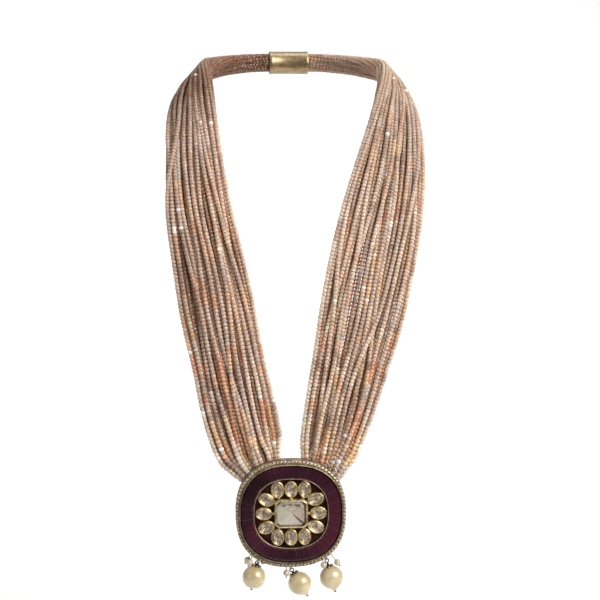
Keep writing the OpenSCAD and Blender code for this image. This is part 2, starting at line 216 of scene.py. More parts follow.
def pearlMaterial(name, *tones):
    return cloudyMaterial(
        name, (110, 2.0), (1400, 3.0), list(zip((0.34, 0.5, 0.66), tones)), (0.30, 0.38),
        (0.02, 0.02), Coat_Weight=1.0, Coat_Roughness=0.25, Coat_IOR=1.6, Specular_IOR_Level=0.4,
        Metallic=0.12, Subsurface_Weight=0.06, Subsurface_Radius=(1.0, 0.75, 0.4),
        Subsurface_Scale=1.2 * mm)


def tintedMaterial(name, noise, shades, rough, **values):
    # the mesh's own tints, with painted light, shade and reflections in some pieces' tints, clouded by a
    # noise
    material, tree = newMaterial(name, **values)
    cloud = addNoise(tree, *noise)
    tint = addNode(tree, "Attribute", attribute_name="tint")["Color"]
    paint(tree, Base_Color=multiply(tree, tint, addRamp(tree, cloud, shades)),
          Roughness=addRange(tree, cloud, *rough))
    return material


def foilMaterial(name, rough, metallic, coat=0.2):
    return tintedMaterial(name, (2600, 4.0), [(0.32, (0.72, 0.70, 0.68)), (0.6, (1, 1, 1))],
                          (rough, rough + 0.12), Metallic=metallic, Coat_Weight=coat,
                          Coat_Roughness=0.06)


def threadMaterial():
    material, tree = newMaterial("twistedThread", Sheen_Weight=0.3, Roughness=0.8)
    twist = addNode(tree, "TexWave", {"Vector": objectCoords(tree), "Scale": 900.0,
                                      "Distortion": 1.0})["Fac"]
    tones = [(0.2, (0.10, 0.055, 0.035)), (0.8, (0.22, 0.14, 0.09))]
    paint(tree, Base_Color=addRamp(tree, twist, tones), Normal=addBump(tree, twist, 0.3, 0.05))
    return material


gold, rimGold, wireGold, lipGold, wallMetal, foilLine, darkMetal = (
    metalMaterial(name, *look) for name, look in metals.items())
ruby = rubyMaterial(**rubyLook)
enamel = cloudyMaterial(
    "maroonEnamel", (500, 3.0), (500, 3.0),
    [(0.35, (0.020, 0.005, 0.002)), (0.7, (0.045, 0.012, 0.006))], (0.25, 0.5), (0.2, 0.05),
    Coat_Weight=0.1, Coat_Roughness=0.2, Specular_IOR_Level=0.12)
ovalFoil = foilMaterial("champagneFoil", 0.26, 0.1)
centreFoil = foilMaterial("silverFoil", 0.28, 0.05)
paveFoil = foilMaterial("smallStoneFoil", 0.28, 0.15, 0.06)
clearStone = newMaterial("clearStone", Transmission_Weight=1.0, Roughness=0.02, IOR=1.38,
                         Base_Color=(0.97, 0.96, 0.93, 1.0))[0]
dropPearl = pearlMaterial("creamPearl", (0.49, 0.40, 0.21), (0.56, 0.47, 0.28), (0.61, 0.52, 0.33))
seedPearl = pearlMaterial("palePearl", (0.48, 0.40, 0.29), (0.53, 0.46, 0.35), (0.56, 0.49, 0.38))
beadGlass = tintedMaterial(
    "facetedBead", (900, 3.0), [(0.3, (0.78, 0.74, 0.72)), (0.6, (1.04, 1.02, 1.0))], (0.18, 0.42),
    Coat_Weight=0.35, Coat_Roughness=0.06, Specular_IOR_Level=0.45, Subsurface_Weight=0.8,
    Subsurface_Radius=(1.0, 0.6, 0.35), Subsurface_Scale=1.6 * mm)
thread = threadMaterial()
print("materials made")


# Helpers for shapes. A part is points in mm and faces, and may have a material's index and a tint
# for each face
def turns(count):
    return [2 * pi * i / count for i in range(count)]


def onCircle(radius, angle):
    return radius * cos(angle), radius * sin(angle)


def unit(vectors):
    return vectors / np.linalg.norm(vectors, axis=-1, keepdims=True)


def turned(profile, sides, phase=0.0):
    # rings about +Z from radii and heights, every second one turned on by a phase
    return np.array([[onCircle(radius, a + phase * (k % 2)) + (height,) for a in turns(sides)]
                     for k, (radius, height) in enumerate(profile)])


def arc(radius, polars):
    # a ball's radii and heights at some angles from its top
    return [(radius * sin(polar), radius * cos(polar)) for polar in polars]


def gridFaces(rows, columns, closedRows=True, closedColumns=True):
    faces = []
    for i in range(rows if closedRows else rows - 1):
        for j in range(columns if closedColumns else columns - 1):
            k, m = (i + 1) % rows, (j + 1) % columns
            faces.append((i * columns + j, i * columns + m, k * columns + m, k * columns + j))
    return faces


def loopRings(rings):
    # faces over rings of points, of which the last meets the first
    return np.concatenate(rings), gridFaces(len(rings), len(rings[0]))


def stackRings(rings):
    # faces over rings of points, with the first and last ring filled
    count, last = len(rings[0]), (len(rings) - 1) * len(rings[0])
    filled = [tuple(range(count))[::-1], tuple(range(last, last + count))]
    return np.concatenate(rings), gridFaces(len(rings), count, False) + filled


def tube(path, radius, count=10):
    path = np.asarray(path, float)
    ways = unit(np.gradient(path, axis=0))
    side = np.cross(ways[0], (0.31, 0.93, 0.17))  # no wire here runs this way
    rings = []
    for point, way in zip(path, ways):
        side = unit(side - way * np.dot(side, way))
        other = np.cross(way, side)
        rings.append([point + radius * (cos(a) * side + sin(a) * other) for a in turns(count)])
    return stackRings(rings)


def ball(centre, radius, sides=12, rings=8, stretch=(1, 1, 1)):
    # each pole is a small flat cap
    polars = [pi * (0.02 + 0.96 * k / rings) for k in range(rings + 1)]
    return stackRings(turned(arc(radius, polars), sides) * stretch + centre)


def hoop(centre, axis, ringRadius, wireRadius, segments=36, count=12):
    first = unit(np.cross(axis, (0.2, 0.3, 0.9)))
    second = np.cross(axis, first)
    wire = [onCircle(wireRadius, b) for b in turns(count)]
    return loopRings([[centre + (cos(a) * first + sin(a) * second) * (ringRadius + away)
                       + np.multiply(axis, up) for away, up in wire] for a in turns(segments)])


def cutCorners(halfW, halfH, cut, steps=4):
    # a rectangle whose corners are rounded cuts
    corners = []
    for start, (signX, signZ) in enumerate(((1, 1), (-1, 1), (-1, -1), (1, -1))):
        for k in range(steps + 1):
            x, z = onCircle(cut, pi / 2 * (start + k / steps))
            corners.append((signX * (halfW - cut) + x, signZ * (halfH - cut) + z))
    return corners


def turnTo(part, way, place):
    # carries a part from +Z to the given way, and to its place
    turn = np.array(Vector((0, 0, 1)).rotation_difference(Vector(way)).to_matrix())
    return (part[0] @ turn.T + place,) + part[1:]


# Helpers for pieces
def newMesh(name, points, faces=(), outwards=False):
    mesh = bpy.data.meshes.new(name)
    mesh.from_pydata(np.asarray(points).tolist(), [], faces)
    if outwards:
        work = bmesh.new()
        work.from_mesh(mesh)
        bmesh.ops.recalc_face_normals(work, faces=work.faces)
        work.to_mesh(mesh)
        work.free()
    return mesh


def finishPiece(name, mesh, smoothAngle, replaced):
    mesh.polygons.foreach_set("use_smooth", [bool(smoothAngle)] * len(mesh.polygons))
    if smoothAngle:
        mesh.set_sharp_from_angle(angle=radians(smoothAngle))
    mesh.update()
    piece = addObject(name, mesh)
    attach(piece, "root")
    if replaced:
        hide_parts(replaced)
    return piece


def makePiece(name, parts, materials, smoothAngle=38, replaced=None):
    points, faces, indices, tints = [], [], [], []
    offset = 0
    for part in parts:
        partPoints, partFaces, index, partTints = part + (0, None)[len(part) - 2:]
        points.append(partPoints)
        faces += [tuple(offset + v for v in face) for face in partFaces]
        indices += [index] * len(partFaces)
        tints += [(0.8, 0.8, 0.8)] * len(partFaces) if partTints is None else list(partTints)
        offset += len(partPoints)
    mesh = newMesh(name, np.concatenate(points) * mm, faces, True)
    mesh.polygons.foreach_set("material_index", indices)
    for material in materials:
        mesh.materials.append(material)
    if any(len(part) > 3 for part in parts):
        layer = mesh.attributes.new("tint", "FLOAT_COLOR", "CORNER")
        layer.data.foreach_set("color", [value for face, tint in zip(faces, tints)
                                         for value in (*tint, 1.0) * len(face)])
    return finishPiece(name, mesh, smoothAngle, replaced)


def dressNode(name, material):
    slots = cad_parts[name].data.materials
    slots.clear()
    slots.append(material)


# Geometry Nodes: beads on points, and threads along paths
def newTree(name, **inputs):
    tree = bpy.data.node_groups.new(name, "GeometryNodeTree")
    sockets = [("Geometry", "INPUT", "Geometry")]
    sockets += [(label.replace("_", " "), "INPUT", kind) for label, kind in inputs.items()]
    for label, way, kind in sockets + [("Geometry", "OUTPUT", "Geometry")]:
        tree.interface.new_socket(label, in_out=way, socket_type="NodeSocket" + kind)
    return tree, addNode(tree, "NodeGroupInput")


def endTree(tree, shape, material):
    plain = addNode(tree, "GeometryNodeRealizeInstances", {"Geometry": shape})["Geometry"]
    painted = addNode(tree, "GeometryNodeSetMaterial", {"Geometry": plain, "Material": material})
    addNode(tree, "NodeGroupOutput", {"Geometry": painted["Geometry"]})
    return tree


def beadTree():
    # a copy of one bead on each point, turned, sized and tinted by the point's attributes
    tree, source = newTree("beadsOnPoints", Bead="Object", Bead_width="Float",
                           Bead_length="Float", Bead_material="Material")
    turn, size = (addNode(tree, "GeometryNodeInputNamedAttribute", {"Name": key},
                          data_type="FLOAT_VECTOR")["Attribute"] for key in ("turn", "size"))
    bead = addNode(tree, "GeometryNodeObjectInfo", {"Object": source["Bead"]},
                   transform_space="ORIGINAL")
    whole = addNode(tree, "CombineXYZ", {
        "X": source["Bead width"], "Y": source["Bead width"], "Z": source["Bead length"]})
    scale = addNode(tree, "VectorMath", {0: whole["Vector"], 1: size}, operation="MULTIPLY")
    rotation = addNode(tree, "FunctionNodeEulerToRotation", {"Euler": turn})
    place = addNode(tree, "GeometryNodeInstanceOnPoints", {
        "Points": source["Geometry"], "Instance": bead["Geometry"],
        "Rotation": rotation["Rotation"], "Scale": scale["Vector"]})
    return endTree(tree, place["Instances"], source["Bead material"])


def threadTree(sides=5):
    # a round thread along each path
    tree, source = newTree("roundThreads", Thread_radius="Float", Thread_material="Material")
    circle = addNode(tree, "GeometryNodeCurvePrimitiveCircle", {
        "Resolution": sides, "Radius": source["Thread radius"]})["Curve"]
    sweep = addNode(tree, "GeometryNodeCurveToMesh", {
        "Curve": source["Geometry"], "Profile Curve": circle, "Fill Caps": True})["Mesh"]
    return endTree(tree, sweep, source["Thread material"])


def growPiece(name, source, tree, settings, slot, smoothAngle=0, replaced=None):
    # what the tree makes of the source is kept as a plain mesh, and the source is removed
    modifier = source.modifiers.new("grow", "NODES")
    modifier.node_group = tree
    for item in tree.interface.items_tree:
        if item.in_out == "INPUT" and item.name in settings:
            modifier[item.identifier] = settings[item.name]
    depsgraph = bpy.context.evaluated_depsgraph_get()
    depsgraph.update()
    mesh = bpy.data.meshes.new_from_object(source.evaluated_get(depsgraph), depsgraph=depsgraph)
    for extra in ("turn", "size"):
        if extra in mesh.attributes:
            mesh.attributes.remove(mesh.attributes[extra])
    bpy.data.objects.remove(source)
    mesh.name = name
    return finishPiece(name, mesh, smoothAngle, replaced)


def pointCloud(name, points, turn, size, tint=None):
    mesh = newMesh(name, points * mm)
    for key, kind, values in (("turn", "vector", turn), ("size", "vector", size),
                              ("tint", "color", tint)):
        if values is not None:
            layer = mesh.attributes.new(key, "FLOAT_" + kind.upper(), "POINT")
            layer.data.foreach_set(kind, np.asarray(values, dtype=np.float32).ravel())
    return addObject(name, mesh)


def beadShape(name, profile, sides):
    # a bead of unit radius and unit half length, whose rings are set half a side apart
    rings = stackRings(turned(profile, sides, pi / sides))
    return addObject(name, newMesh(name, *rings, True))


beadInstances = beadTree()


def growBeads(name, cloud, shape, material, slot, **finish):
    settings = {"Bead": shape, "Bead width": mm, "Bead length": mm, "Bead material": material}
    return growPiece(name, cloud, beadInstances, settings, slot, **finish)


# The pendant's sizes, with heights from its back towards the front
pendant = dict(at=(-9.0, -114.8, -235.5), width=57.4, height=56.6, power=2.4, rimSide=2.2,
               rimTop=2.95, lineX=19.6, lineZ=18.4, rubyCount=52, paveCount=88)


def onPendant(points):
    # from x, z and height on the pendant to the common frame
    x, z, height = np.moveaxis(np.asarray(points, float), -1, 0)
    at = pendant["at"]
    return np.stack([at[0] + x, at[1] - height, at[2] + z], -1)


def atHeight(outline, height):
    return onPendant([(*point, height) for point in outline])


def outlinePoint(halfX, halfZ, angle):
    power = pendant["power"]
    reach = (abs(cos(angle) / halfX) ** power + abs(sin(angle) / halfZ) ** power) ** (-1 / power)
    return onCircle(reach, angle)


def rimPoint(part, angle):
    # a part of the way across the rim, from 0 outside to 1 at the red band
    return outlinePoint(pendant["width"] / 2 - part * pendant["rimSide"],
                        pendant["height"] / 2 - part * pendant["rimTop"], angle)


def linePoint(inset, angle):
    # inside the wire line by an inset
    return outlinePoint(pendant["lineX"] - inset, pendant["lineZ"] - inset, angle)


def sweepProfile(pointAt, profile, steps):
    return loopRings([onPendant([pointAt(across, angle) + (height,) for across, height in profile])
                      for angle in turns(steps)])


# The soldered metal. A profile's points are a place across the rim, or an inset from the wire
# line, and a height
mount = dict(
    rimSteps=264, seatSteps=132, wireSteps=176,
    rim=[(0.07, 0.0), (0.02, 0.12), (0.0, 0.45), (0.0, 2.3), (0.04, 2.5), (0.04, 2.75), (0.0, 2.95),
         (0.0, 5.3), (0.02, 5.5), (0.05, 5.6), (0.08, 5.55), (0.10, 5.42), (0.12, 5.3), (0.74, 6.4),
         (0.74, 0.3)],
    lip=[(0.72, 1.0), (0.74, 6.35), (0.78, 6.8), (0.80, 7.4), (0.83, 7.8), (0.87, 8.04),
         (0.92, 8.12), (0.96, 8.0), (0.99, 7.7), (1.0, 7.3), (1.0, 0.5), (0.95, 0.3), (0.74, 0.3)],
    seat=[(-2.0, 1.9), (-2.0, 3.2), (0.02, 3.2), (0.06, 6.2), (0.32, 6.2), (0.36, 3.2), (1.2, 3.1),
          (1.2, 1.9)],
    wire=dict(radius=0.17, inset=0.16, height=6.4, sides=12),
    # the back plate's outline is drawn in to its middle, by a scale at a height
    plate=[(0.002, 0.0), (0.55, 0.0), (0.985, 0.0), (0.985, 1.9), (0.5, 1.9), (0.002, 1.9)],
    plateSteps=132, plateAcross=0.06,
    # the bars on the back run into the plate, and their ends taper
    bars=((-24.6, -2.4), (5.0, 26.4)), barZ=11.4, barHeight=2.8, barDepth=5.8, barSunk=0.6,
    barBevel=0.6, barTaper=((0.0, 0.35), (0.1, 0.12), (0.4, 0.0)))

# Bezels, with profile points of an inset and a height
ovalBezel = dict(halfW=3.3, halfL=4.4, steps=40, wobble=0.012, footWobble=0.0036, foot=4.0, profile=[
    (-0.1, 1.8), (-0.14, 5.3), (-0.08, 5.65), (0.08, 5.92), (0.3, 6.08), (0.55, 6.12), (0.78, 6.02),
    (0.92, 5.84), (1.02, 5.86), (1.14, 6.1), (1.28, 6.24), (1.4, 6.18), (1.46, 5.9), (1.44, 5.0),
    (1.3, 1.8)])
centreBezel = dict(halfW=8.7, halfH=7.6, cut=2.9, cutPerInset=0.75, profile=[
    (0.0, 1.8), (-0.05, 6.3), (0.06, 6.8), (0.26, 7.3), (0.5, 7.7), (0.76, 7.92), (0.98, 7.96),
    (1.14, 7.82), (1.22, 7.5), (1.22, 6.6), (1.2, 1.8)])

# Oval settings: x, z and the turn of the long side from upright. Grains between them: x, z and
# radius. The other six of each lie opposite
ovals = [(-7.1, 12.5, 0), (0, 12.6, 0), (7.1, 12.5, 0), (12.9, 7.3, -70), (14.3, 0, 90),
         (12.9, -7.3, 70)]
ovals += [(-x, -z, turn) for x, z, turn in ovals]
grains = [(-6.3, 7.9, 0.5), (0, 7.85, 0.5), (6.3, 7.9, 0.5), (9.1, 5.6, 0.55), (9.3, 0, 0.7),
          (9.1, -5.6, 0.55)]
grains += [(-x, -z, radius) for x, z, radius in grains]
grainForm = dict(height=5.55, swell=1.12, stretch=(1, 1.3, 1), post=(1.8, 3.6, 5.4))

# Thin fins that show as a pale line between two red stones, some of them lower than others
jointLines = dict(seed=8, half=0.03, lower=(0.0, 0.1, 0.45, 0.6), inner=(19.9, 18.7),
                  outer=(26.5, 25.35), foot=3.0, edge=6.4, top=7.3, slope=0.1)

# Drops: x and z of the ring under the rim, the lean to the right, how far the pearl's middle is
# from that ring and how long its nib is. Seed pearls: their middle and their pin's root
dropY = -118.2
drops = [dict(name="Left", ring=(-26.4, -260.5), lean=-12, reach=8.9, nib=0.3),
         dict(name="Middle", ring=(-9.3, -264.7), lean=31, reach=9.6, nib=1.5),
         dict(name="Right", ring=(9.5, -259.9), lean=15, reach=10.6, nib=1.5)]
seeds = [((-30.6, -120.0, -261.0), (-28.6, -118.4, -256.6)),
         ((-31.6, -116.3, -260.5), (-29.0, -116.6, -256.2)),
         ((-23.0, -112.6, -262.3), (-23.0, -116.4, -259.6)),
         ((-11.5, -120.0, -267.0), (-11.4, -118.8, -262.4)),
         ((8.0, -120.2, -263.2), (7.4, -118.8, -259.0)),
         ((15.2, -119.6, -262.0), (10.8, -118.4, -256.4))]
pearl = dict(radius=6.1, seedRadius=1.7, pin=0.28, stop=0.45, ring=1.0, wire=0.3)


def ovalRing(index, halfW, halfL, height, count, phase=0.0, wobble=0.0):
    x, z, turn = ovals[index]
    cosine, sine = onCircle(1, radians(turn))
    ring = []
    for a in turns(count):
        a += phase
        wave = 1 + wobble * sin(2.3 * a + 1.7 * index)
        px, pz = halfW * wave * cos(a), halfL * wave * sin(a)
        ring.append((x + px * cosine - pz * sine, z + px * sine + pz * cosine))
    return atHeight(ring, height)


def plateParts():
    outline = np.array([rimPoint(mount["plateAcross"], a) for a in turns(mount["plateSteps"])])
    return [stackRings([atHeight(outline * scale, height) for scale, height in mount["plate"]])]


def bezelParts():
    oval, centre = ovalBezel, centreBezel
    parts = [loopRings([
        ovalRing(index, oval["halfW"] - inset, oval["halfL"] - inset, height, oval["steps"],
                 wobble=oval["wobble"] if height > oval["foot"] else oval["footWobble"])
        for inset, height in oval["profile"]]) for index in range(len(ovals))]
    return parts + [loopRings([atHeight(cutCorners(
        centre["halfW"] - inset, centre["halfH"] - inset, centre["cut"] - centre["cutPerInset"] * inset,
        6), height) for inset, height in centre["profile"]])]


def grainParts(height, swell, stretch, post):
    parts = []
    for x, z, radius in grains:
        parts += [ball(onPendant((x, z, height)), radius * swell, 14, 10, stretch),
                  tube(onPendant([(x, z, level) for level in post]), radius, 12)]
    return parts


def barParts():
    parts = []
    high, deep, sunk = mount["barHeight"], mount["barDepth"], mount["barSunk"]
    middle = (mount["barZ"] + high / 2, (sunk - deep) / 2)
    section = np.array(cutCorners(high / 2, (deep + sunk) / 2, mount["barBevel"]))
    for start, end in mount["bars"]:
        taper = mount["barTaper"]
        slices = [(start + step, shrink) for step, shrink in taper]
        slices += [(end - step, shrink) for step, shrink in taper[::-1]]
        parts.append(stackRings([
            onPendant(np.insert(section * (1 - shrink / 2, 1 - shrink / 4) + middle, 0, x, axis=1))
            for x, shrink in slices]))
    return parts


def jointParts(seed, half, lower, inner, outer, foot, edge, top, slope):
    parts = []
    rng = np.random.default_rng(seed)
    for angle in turns(pendant["rubyCount"]):
        drop = rng.choice(lower)
        start, end = (np.array(outlinePoint(*halves, angle)) for halves in (inner, outer))
        way = end - start
        across = unit(np.array([-way[1], way[0]])) * half
        rings = []
        for point, level in ((start, edge), (start + slope * way, top), (end - slope * way, top),
                             (end, edge)):
            rings.append(onPendant([(*(point + side * across), height) for side, height in (
                (-1, foot), (1, foot), (1, level - drop), (-1, level - drop))]))
        parts.append(stackRings(rings))
    return parts


def hangerParts():
    # the drops' small rings, and the seed pearls' pins with a ball at the end
    parts = []
    for drop in drops:
        x, z = onCircle(1, radians(drop["lean"]))
        centre = np.array([drop["ring"][0], dropY, drop["ring"][1]])
        parts.append(hoop(centre, (x, 0, z), pearl["ring"], pearl["wire"]))
    for middle, root in np.array(seeds):
        end = middle + unit(middle - root) * (pearl["seedRadius"] + pearl["stop"])
        parts += [tube(np.linspace(root, end, 5), pearl["pin"]), ball(end, pearl["stop"])]
    return parts


def wireProfile(radius, inset, height, sides):
    return [(inset + away, height + up) for away, up in (onCircle(radius, a) for a in turns(sides))]


metalParts = [
    (gold, bezelParts() + grainParts(**grainForm)),
    (rimGold, hangerParts() + plateParts() + barParts()),
    (wireGold, [sweepProfile(linePoint, wireProfile(**mount["wire"]), mount["wireSteps"])]),
    # painted shade: the seat under the red stones is near-black metal in place of its shade
    (darkMetal, [sweepProfile(linePoint, mount["seat"], mount["seatSteps"])]),
    (foilLine, jointParts(**jointLines)),
    # painted shade: the rim's outer wall is dark, and darker below
    (wallMetal, [sweepProfile(rimPoint, mount["rim"], mount["rimSteps"])]),
    # painted light: the lip is paler at the top and darker below
    (lipGold, [sweepProfile(rimPoint, mount["lip"], mount["rimSteps"])])]
makePiece("pendantMetal", [part + (index,) for index, (metal, parts) in enumerate(metalParts)
                           for part in parts],
          [metal for metal, parts in metalParts], replaced="pendant_mount")

# Small grains on the rim's edge and between its stones: place across the rim, height and radius
rimGrains = dict(edgeCount=176, edge=(0.1, 5.6, 0.32), sides=8,
                 prongs=((0.24, 6.0, 0.27), (0.45, 6.25, 0.2), (0.66, 6.75, 0.27)),
                 profile=[(0.35, -0.94), (0.82, -0.57), (1.0, 0.0), (0.82, 0.57), (0.35, 0.94)])


def growGrains(name, count, rows):
    places = np.array([rimPoint(across, angle) + (height, radius)
                       for angle in turns(count) for across, height, radius in rows])
    cloud = pointCloud(name + "Places", onPendant(places[:, :3]), np.zeros((len(places), 3)),
                       np.repeat(places[:, 3:], 3, axis=1))
    shape = beadShape(name + "Shape", rimGrains["profile"], rimGrains["sides"])
    growBeads(name, cloud, shape, gold, "gold", smoothAngle=60)
    bpy.data.objects.remove(shape)


growGrains("rimEdgeGrains", rimGrains["edgeCount"], [rimGrains["edge"]])
growGrains("stoneGrains", pendant["paveCount"], rimGrains["prongs"])
print("pendant metal made")


# Red band: tapered stones with a flat table, a wide outer and inner slope and fine side edges.
# A slope's point is a part of the way out and a height
rubyBand = dict(gap=0.1, foot=3.35, sideBevel=0.09, sideDrop=0.12, inner=(19.68, 18.48),
                outer=(26.38, 25.23), slopes=(
                    (0.0, 6.5), (0.035, 6.95), (0.085, 7.36), (0.13, 7.42), (0.5, 7.46),
                    (0.87, 7.42), (0.915, 7.36), (0.965, 6.95), (1.0, 6.5)))


def rubyParts(gap, foot, sideBevel, sideDrop, inner, outer, slopes):
    parts = []
    # lines from the inside out: at the start or the end side, how far in and how far down
    lines = [(1, 0, None), (1, 0, sideDrop), (1, sideBevel, 0)]
    lines += [(-1, margin, drop) for sign, margin, drop in lines[::-1]]
    across = len(slopes)
    faces = gridFaces(len(lines), across, True, False)
    faces.append(tuple(k * across for k in range(len(lines)))[::-1])
    faces.append(tuple(k * across + across - 1 for k in range(len(lines))))
    for i in range(pendant["rubyCount"]):
        start, end = (2 * pi * k / pendant["rubyCount"] for k in (i, i + 1))
        points = []
        for sign, margin, drop in lines:
            for part, height in slopes:
                half = [a + part * (b - a) for a, b in zip(inner, outer)]
                trim = (gap / 2 + margin) / hypot(*outlinePoint(*half, (start + end) / 2))
                angle = start + trim if sign > 0 else end - trim
                points.append(outlinePoint(*half, angle) + (foot if drop is None else height - drop,))
        parts.append((onPendant(points), faces))
    return parts


makePiece("redBandStones", rubyParts(**rubyBand), [ruby], smoothAngle=16, replaced="ruby_band")
dressNode("enamel_field", enamel)
print("red band made")


def pickTones(rng, tones, count, low=0.85, high=1.1):
    picks = rng.integers(0, len(tones), count)
    return [tuple(min(c * s, 1.0) for c in tones[p])
            for p, s in zip(picks, rng.uniform(low, high, count))]


# Small stones of the rim, leaning outwards, with a painted highlight on the half towards the upper
# right, painted shade on the other half, and painted light that is strongest at the top. A ring
# has a scale, a height and the part of a side by which it is turned
paveCut = dict(
    across=0.44, level=6.25, lean=32, halfOut=0.88, halfAlong=0.86, seed=3,
    rings=((0.3, -0.7, 0), (1.0, -0.02, 0), (1.0, 0.12, 0), (0.56, 0.54, 0.5)),
    paintedLightAt=(-27, -15, 5, 26), paintedLight=(0.85, 0.78, 0.76, 1.0),
    paintedHighlight=((0.90, 0.85, 0.75), (0.80, 0.73, 0.60), (0.70, 0.60, 0.46)),
    paintedShade=((0.30, 0.23, 0.15), (0.20, 0.15, 0.10), (0.42, 0.33, 0.22)))


def paveParts(across, level, lean, halfOut, halfAlong, seed, rings, paintedLightAt, paintedLight, paintedHighlight, paintedShade):
    rng = np.random.default_rng(seed)
    leanOut, leanUp = onCircle(1, radians(lean))
    faces = gridFaces(3, 8, False)
    for k in range(8):
        j = (k + 1) % 8
        faces += [(16 + k, 16 + j, 24 + k), (16 + j, 24 + j, 24 + k)]
    # the table is two faces, so that one half of it can carry the painted highlight
    faces += [tuple(range(8))[::-1], (31, 24, 25, 26, 27), (27, 28, 29, 30, 31)]
    parts = []
    for place in turns(pendant["paveCount"]):
        angle = place + pi / pendant["paveCount"]
        x, z = rimPoint(across, angle)
        way = unit(np.subtract(*(rimPoint(across, angle + step) for step in (0.01, -0.01))))
        points, lit = [], []
        for scale, height, phase in rings:
            for a in turns(8):
                a += pi / 4 * phase
                u, v = scale * halfOut * cos(a), scale * halfAlong * sin(a)
                lit.append(u + v)
                out = u * leanOut + height * leanUp
                points.append((x + out * way[1] + v * way[0], z - out * way[0] + v * way[1],
                               level - u * leanUp + height * leanOut))
        tints = zip(faces, *(pickTones(rng, tones, len(faces)) for tones in (paintedHighlight, paintedShade)))
        # painted highlight on the half towards the upper right, painted shade on the other half, and
        # painted light by height
        tints = np.array([pale if sum(lit[v] for v in face) > 0 else deep
                          for face, pale, deep in tints])
        parts.append((onPendant(points), faces, 0, tints * np.interp(z, paintedLightAt, paintedLight)))
    return parts


makePiece("rimStones", paveParts(**paveCut), [paveFoil], smoothAngle=0,
          replaced="pave_stones")
print("rim stones made")


# Oval stones: a clear crown over a foiled back. A ring has a scale, a rise over the girdle and the
# part of a side by which it is turned
ovalCut = dict(
    seed=5, sides=12, halfW=1.92, halfL=3.02, girdle=5.62, apex=-1.9, apexStray=0.2, depth=0.12,
    foil=((1.0, -0.06, 0), (0.60, -0.75, 0.5)),
    crown=((1.0, 0.0, 0), (1.0, 0.12, 0), (0.86, 0.52, 0.5), (0.58, 0.88, 0)),
    paintedLightPerMm=0.009,  # painted light: the stones are lighter to the right
    tones=((0.88, 0.80, 0.72), (0.74, 0.62, 0.55), (0.62, 0.50, 0.44), (0.84, 0.69, 0.62),
           (0.72, 0.62, 0.52), (0.95, 0.90, 0.84), (0.52, 0.42, 0.36)))


def facetFan(rings, apex):
    # triangles between two rings that are set half a side apart, closed by an apex
    count = len(rings[0])
    faces = []
    for i in range(count):
        j = (i + 1) % count
        faces += [(i, j, count + i), (j, count + j, count + i)]
    faces += [(count + i, count + (i + 1) % count, 2 * count) for i in range(count)]
    return np.concatenate([*rings, [apex]]), faces


def foilDish(points, faces, sides, depth):
    # the foil under a clear stone is an open dish, closed from behind
    count = len(points)
    closing = [tuple(v + count for v in face)[::-1] for face in faces]
    closing += [(i, (i + 1) % sides, count + (i + 1) % sides, count + i) for i in range(sides)]
    return np.concatenate([points, points + (0, depth, 0)]), faces + closing


def ovalStone(index, seed, sides, halfW, halfL, girdle, apex, apexStray, depth, foil, crown,
              paintedLightPerMm, tones):
    rng = np.random.default_rng(seed + index)
    back, front = ([ovalRing(index, halfW * scale, halfL * scale, girdle + rise, sides,
                             2 * pi / sides * phase) for scale, rise, phase in rings]
                   for rings in (foil, crown))
    x, z = (middle + rng.uniform(-apexStray, apexStray) for middle in ovals[index][:2])
    points, faces = foilDish(*facetFan(back, onPendant((x, z, girdle + apex))), sides, depth)
    # painted light, stronger to the right
    paintedLight = 1 + paintedLightPerMm * ovals[index][0]
    return [(points, faces, 0, np.array(pickTones(rng, tones, len(faces))) * paintedLight),
            stackRings(front) + (1,)]


for index in range(len(ovals)):
    makePiece("ovalStone%02d" % (index + 1), ovalStone(index, **ovalCut), [ovalFoil, clearStone],
              smoothAngle=0, replaced="oval_stone_%02d" % (index + 1))


# Centre stone: a clear step-cut crown over four large foiled facets, and three small marks. A ring
# has a scale, a height and how wide its corners are cut
centreCut = dict(
    half=(7.35, 6.22), cut=1.9, culet=(0.1, 0.3, 4.9), depth=0.15, markHeights=(6.2, 6.25),
    foil=((1.0, 6.89, 1.0), (0.86, 6.2, 0.6)),
    crown=((1.0, 6.95, 1.0), (1.0, 7.1, 1.0), (0.93, 7.7, 1.05), (0.82, 8.25, 1.1)),
    marks=[((-5.2, 4.5), (-3.9, 3.8), (-2.6, 4.5)), ((-2.4, 4.6), (-0.6, 4.1), (1.0, 4.6)),
           ((1.2, 4.5), (3.2, 3.7), (4.8, 4.5))],
    # painted reflections and shadow: tones of the foil's outer steps and of the facets inside them,
    # anticlockwise from the right, each the light its facet reflects; the steps named gap, at the right
    # and below, are painted shadow
    steps=("gap", "edge", "top", "edge", "left", "edge", "gap", "gap"),
    facets=("right", "pink", "top", "fold", "left", "corner", "bottom", "sliver"),
    tones=dict(right=(0.98, 0.88, 0.80), top=(0.95, 0.90, 0.84), left=(0.84, 0.86, 0.75),
               bottom=(1.0, 1.0, 0.96), sliver=(0.30, 0.18, 0.14), edge=(0.55, 0.51, 0.43),
               fold=(0.80, 0.77, 0.68), pink=(0.80, 0.64, 0.55), corner=(0.95, 0.92, 0.85),
               mark=(0.28, 0.23, 0.18), gap=(0.30, 0.24, 0.17)))


def octagon(scale, height, corner):
    (w, h), c = np.multiply(centreCut["half"], scale), centreCut["cut"] * scale * corner
    return atHeight(((w, c - h), (w, h - c), (w - c, h), (c - w, h),
                     (-w, h - c), (-w, c - h), (c - w, -h), (w - c, -h)), height)


